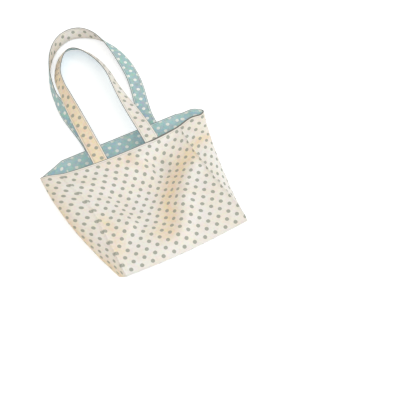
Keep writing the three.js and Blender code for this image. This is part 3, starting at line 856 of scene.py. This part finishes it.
def canvas(name, cloth_colour, tone_and_shade_colour, dot_colour, worn_and_highlight_colour, turned_shade, radius, phase):
    """Printed cotton canvas: plain weave, uneven yarns, staggered dots with soft edges, a pale line along the sewn
    edges that is partly wear and partly painted highlight, and painted shade.

    The cloth's uv map gives places in metres, and phase shifts the print over it in millimetres.
    """
    n = Nodes(name)
    uv = n.add("ShaderNodeUVMap", uv_map="cloth").outputs["UV"]
    place = n.vector("SCALE", uv)
    place.node.inputs["Scale"].default_value = 1000.0

    # Distance to the nearest dot's middle, with the rows printed a little out of line
    shifted = n.vector("ADD", place, (phase[0], phase[1], 0.0))
    wander = n.add("ShaderNodeTexNoise", {"Vector": place, "Scale": 0.25}).outputs["Color"]
    wobble = n.vector("SUBTRACT", wander, (0.5, 0.5, 0.5))
    wobbled = n.vector("ADD", shifted, n.vector("MULTIPLY", wobble, (0.9, 0.9, 0.0)))

    def to_middle(offset):
        scaled = n.vector("ADD", n.vector("DIVIDE", wobbled, (*DOT_CELL, 1.0)), (offset, offset, 0.0))
        local = n.vector("SUBTRACT", n.vector("FRACTION", scaled), (0.5, 0.5, 0.5))
        return n.vector("LENGTH", n.vector("MULTIPLY", local, (*DOT_CELL, 0.0)))

    nearest = n.maths("MINIMUM", to_middle(0.0), to_middle(0.5))
    ragged = n.maths("MULTIPLY", n.maths("SUBTRACT", n.noise(place, 1.6, 3.0), 0.5), 0.7)
    edge = n.maths("ADD", nearest, ragged)
    ink = n.ramp(edge, radius + DOT_SOFTNESS, radius - DOT_SOFTNESS)

    # Cloth: warmer and darker where painted shade lies in creases and on walls turned from the key light, warmer at
    # random too, faintly mottled, with uneven yarns under the ink
    yarn_u = n.noise(n.vector("MULTIPLY", place, (0.12, 2.2, 1.0)), 1.0, 2.0)
    yarn_v = n.noise(n.vector("MULTIPLY", place, (2.2, 0.12, 1.0)), 1.0, 2.0)
    yarns = n.maths("ADD", yarn_u, yarn_v)
    broad = n.ramp(n.noise(place, 0.022, 3.0, 0.55), 0.35, 0.68)
    patches = n.ramp(n.noise(place, 0.05, 3.0, 0.6), 0.3, 0.6, 0.65, 1.0)
    # Painted warm shade from the mark, broken into patches
    painted_shade = n.maths("MULTIPLY", n.attribute("painted_shade"), patches)
    base = n.mix(n.maths("MULTIPLY_ADD", broad, 0.3, painted_shade, clamp=True), cloth_colour, tone_and_shade_colour)
    mottle = n.add("ShaderNodeTexNoise", {"Vector": place, "Scale": 0.13, "Detail": 2.0, "Roughness": 0.6})
    base = n.mix(0.5, base, mottle.outputs["Color"], "OVERLAY")
    cover = n.maths("MULTIPLY", ink, n.ramp(yarns, 0.45, 0.95, 1.0, 0.86))
    printed = n.mix(cover, base, dot_colour)

    # Sewn edges: a pale line, partly wear and partly a painted highlight, a painted groove shadow along the stitches,
    # and painted shade where the cloth turns under
    from_edge = n.attribute("from_edge")
    worn_and_highlight = n.mix(n.ramp(from_edge, 2.4, 1.5, 0.0, 0.75), printed, worn_and_highlight_colour)
    from_stitches = n.maths("ABSOLUTE", n.maths("SUBTRACT", from_edge, 3.6))
    stitch_groove_shade = n.ramp(from_stitches, 1.3, 0.3, 1.0, 0.8)
    turned = n.ramp(from_edge, 0.5, -0.4, 1.0, turned_shade)
    shade = n.maths("MULTIPLY", n.ramp(yarns, 0.6, 1.4, 0.94, 1.04), n.maths("MULTIPLY", stitch_groove_shade, turned))
    grey = n.add("ShaderNodeCombineColor", {"Red": shade, "Green": shade, "Blue": shade})
    colour = n.mix(1.0, worn_and_highlight, grey.outputs[0], "MULTIPLY")

    # Relief: the weave and its slubs, then soft crumples
    split = n.add("ShaderNodeSeparateXYZ", {"Vector": place})
    thread = 2 * math.pi / YARN_PITCH
    warp = n.maths("SINE", n.maths("MULTIPLY", split.outputs["X"], thread))
    weft = n.maths("SINE", n.maths("MULTIPLY", split.outputs["Y"], thread))
    weave = n.maths("MULTIPLY", warp, weft)
    slub = n.maths("MULTIPLY", yarns, 0.9)
    height = n.maths("ADD", n.maths("MULTIPLY", weave, 0.35), slub)
    fine = n.add("ShaderNodeBump", {"Strength": 0.35, "Distance": 0.00025, "Height": height})
    crumple = n.noise(place, 0.11, 4.0, 0.6)
    crumples = n.add("ShaderNodeBump", {
        "Strength": 0.5, "Distance": 0.0016, "Height": crumple, "Normal": fine.outputs["Normal"],
    })
    rough = n.ramp(yarns, 0.6, 1.4, 0.84, 0.96)
    shader = n.add("ShaderNodeBsdfPrincipled", {
        "Base Color": colour, "Roughness": rough, "Normal": crumples.outputs["Normal"],
        "Sheen Weight": 0.15, "Sheen Roughness": 0.5, "Specular IOR Level": 0.25,
    })
    n.add("ShaderNodeOutputMaterial", {"Surface": shader.outputs["BSDF"]})
    return n.material


def thread_material():
    n = Nodes("stitch_thread")
    place = n.add("ShaderNodeTexCoord").outputs["Object"]
    tone = n.noise(place, 900.0, 2.0)
    colour = n.mix(tone, (0.78, 0.74, 0.64, 1), (0.93, 0.91, 0.85, 1))
    fibres = n.add("ShaderNodeBump", {"Strength": 0.3, "Distance": 0.0001, "Height": tone})
    rough = n.ramp(tone, 0.2, 0.8, 0.6, 0.75)
    shader = n.add("ShaderNodeBsdfPrincipled", {
        "Base Color": colour, "Roughness": rough, "Normal": fibres.outputs["Normal"],
    })
    n.add("ShaderNodeOutputMaterial", {"Surface": shader.outputs["BSDF"]})
    return n.material


# Colours of cloth, of its warm tone and painted shade, of ink and of the pale edges that are partly wear and partly
# painted highlight, how dark the painted shade of the turned edges is, and the dots' sizes
CREAM = (0.835, 0.825, 0.82, 1)
CREAM_TONE_AND_SHADE = (0.84, 0.715, 0.55, 1)
CREAM_DOT = (0.31, 0.345, 0.305, 1)
CREAM_WORN_AND_HIGHLIGHT = (0.88, 0.87, 0.85, 1)
TEAL = (0.44, 0.655, 0.71, 1)
TEAL_TONE_AND_SHADE = (0.375, 0.58, 0.655, 1)
# A darker teal for the straps: painted shade that tones down the key light on them
TEAL_STRAP = (0.37, 0.545, 0.58, 1)
TEAL_DOT = (0.93, 0.94, 0.92, 1)
TEAL_WORN_AND_HIGHLIGHT = (0.60, 0.74, 0.76, 1)
CREAM_TURNED_SHADE = 0.2
TEAL_TURNED_SHADE = 0.25
CREAM_DOT_RADIUS = 4.3
TEAL_DOT_RADIUS = 4.0


def build_materials():
    cream = (CREAM, CREAM_TONE_AND_SHADE, CREAM_DOT, CREAM_WORN_AND_HIGHLIGHT, CREAM_TURNED_SHADE, CREAM_DOT_RADIUS)
    teal = (TEAL, TEAL_TONE_AND_SHADE, TEAL_DOT, TEAL_WORN_AND_HIGHLIGHT, TEAL_TURNED_SHADE, TEAL_DOT_RADIUS)
    # The straps' teal is the darker copy, painted shade
    teal_with_painted_shade = (TEAL_STRAP, *teal[1:])
    return {
        "cream": canvas("cream_dotted_canvas", *cream, (-3.3, 3.7)),
        "teal": canvas("teal_dotted_canvas", *teal, (6.0, 4.0)),
        "cream_strap": canvas("cream_strap_canvas", *cream, (2.0, 0.0)),
        "teal_strap": canvas("teal_strap_canvas", *teal_with_painted_shade, (9.0, 8.0)),
        "thread": thread_material(),
    }


# Floor, light and camera

# The camera that was fitted to the photo: 60 degrees above the surface, with the bag turned 27.2 degrees
CAMERA_AT = Vector((-224.37, -680.67, 1176.93)) * MM
CAMERA_RIGHT = Vector((0.88941637, -0.45709793, 0.0))
CAMERA_LOOKS = Vector((0.22854896, 0.44470819, -0.8660254))
FOCAL_PIXELS = 640.0
IMAGE_PIXELS = 400.0
SENSOR = 36.0


def build_camera():
    data = bpy.data.cameras.new("camera")
    data.sensor_width = SENSOR
    data.lens = FOCAL_PIXELS / IMAGE_PIXELS * SENSOR
    data.clip_start, data.clip_end = 0.05, 20
    made = bpy.data.objects.new("camera", data)
    up = CAMERA_RIGHT.cross(CAMERA_LOOKS)
    turned = Matrix((CAMERA_RIGHT, up, -CAMERA_LOOKS)).transposed()
    made.matrix_world = Matrix.Translation(CAMERA_AT) @ turned.to_4x4()
    bpy.context.scene.collection.objects.link(made)
    bpy.context.scene.camera = made


FLOOR_HALF_SIZE = 6000.0
FLOOR_LEVEL = -0.15


def build_floor():
    """A plain white floor, which is brighter to the camera than to the bag and still takes the bag's shadow."""
    n = Nodes("floor_white")
    light_path = n.add("ShaderNodeLightPath")
    seen = n.maths("MAXIMUM", light_path.outputs["Is Camera Ray"], light_path.outputs["Is Glossy Ray"])
    diffuse = n.add("ShaderNodeBsdfDiffuse", {"Color": (0.8, 0.8, 0.8, 1)})
    glow = n.add("ShaderNodeEmission", {"Color": (0.86, 0.92, 1.0, 1), "Strength": n.maths("MULTIPLY", seen, 0.5)})
    both = n.add("ShaderNodeAddShader")
    n.plug(both.inputs[0], diffuse.outputs[0])
    n.plug(both.inputs[1], glow.outputs[0])
    n.add("ShaderNodeOutputMaterial", {"Surface": both.outputs[0]})
    far = FLOOR_HALF_SIZE
    corners = [(x, y, FLOOR_LEVEL) for x, y in ((-far, -far), (far, -far), (far, far), (-far, far))]
    make_object("floor", corners, [[0, 1, 2, 3]], n.material, smooth_shading=False)


LIGHT_SIZE = 0.9


def add_light(name, at, aim, power, colour):
    data = bpy.data.lights.new(name, "AREA")
    data.shape, data.size, data.energy, data.color = "SQUARE", LIGHT_SIZE, power, colour
    made = bpy.data.objects.new(name, data)
    made.location = at
    made.rotation_euler = (Vector(aim) - Vector(at)).to_track_quat("-Z", "Y").to_euler()
    bpy.context.scene.collection.objects.link(made)


def build_light():
    """A warm fill from all round, a cool key from the right, and a low cool light from the bag's bottom end."""
    world = bpy.data.worlds.new("world")
    bpy.context.scene.world = world
    world.use_nodes = True
    tree = world.node_tree
    tree.nodes.clear()
    light_path = tree.nodes.new("ShaderNodeLightPath")
    ambient = tree.nodes.new("ShaderNodeBackground")
    ambient.inputs["Color"].default_value = (1.0, 0.94, 0.84, 1)
    ambient.inputs["Strength"].default_value = 0.91
    white = tree.nodes.new("ShaderNodeBackground")
    mix = tree.nodes.new("ShaderNodeMixShader")
    output = tree.nodes.new("ShaderNodeOutputWorld")
    tree.links.new(light_path.outputs["Is Camera Ray"], mix.inputs[0])
    tree.links.new(ambient.outputs[0], mix.inputs[1])
    tree.links.new(white.outputs[0], mix.inputs[2])
    tree.links.new(mix.outputs[0], output.inputs[0])
    white.inputs["Color"].default_value = (1, 1, 1, 1)
    add_light("key", (1.5, -0.6, 1.25), (0.0, 0.0, 0.0), 8.5, (0.72, 0.88, 1.0))
    add_light("low", (0.1, -1.7, 0.6), (0.0, 0.1, 0.0), 7.0, (0.86, 0.94, 1.0))
    bpy.context.scene.view_settings.view_transform = "Standard"


build_camera()
build_floor()
build_light()
all_materials = build_materials()
outer_walls, inner_walls = build_shell(all_materials)
build_handles(all_materials)
build_seam_stitches(outer_walls, inner_walls, all_materials)
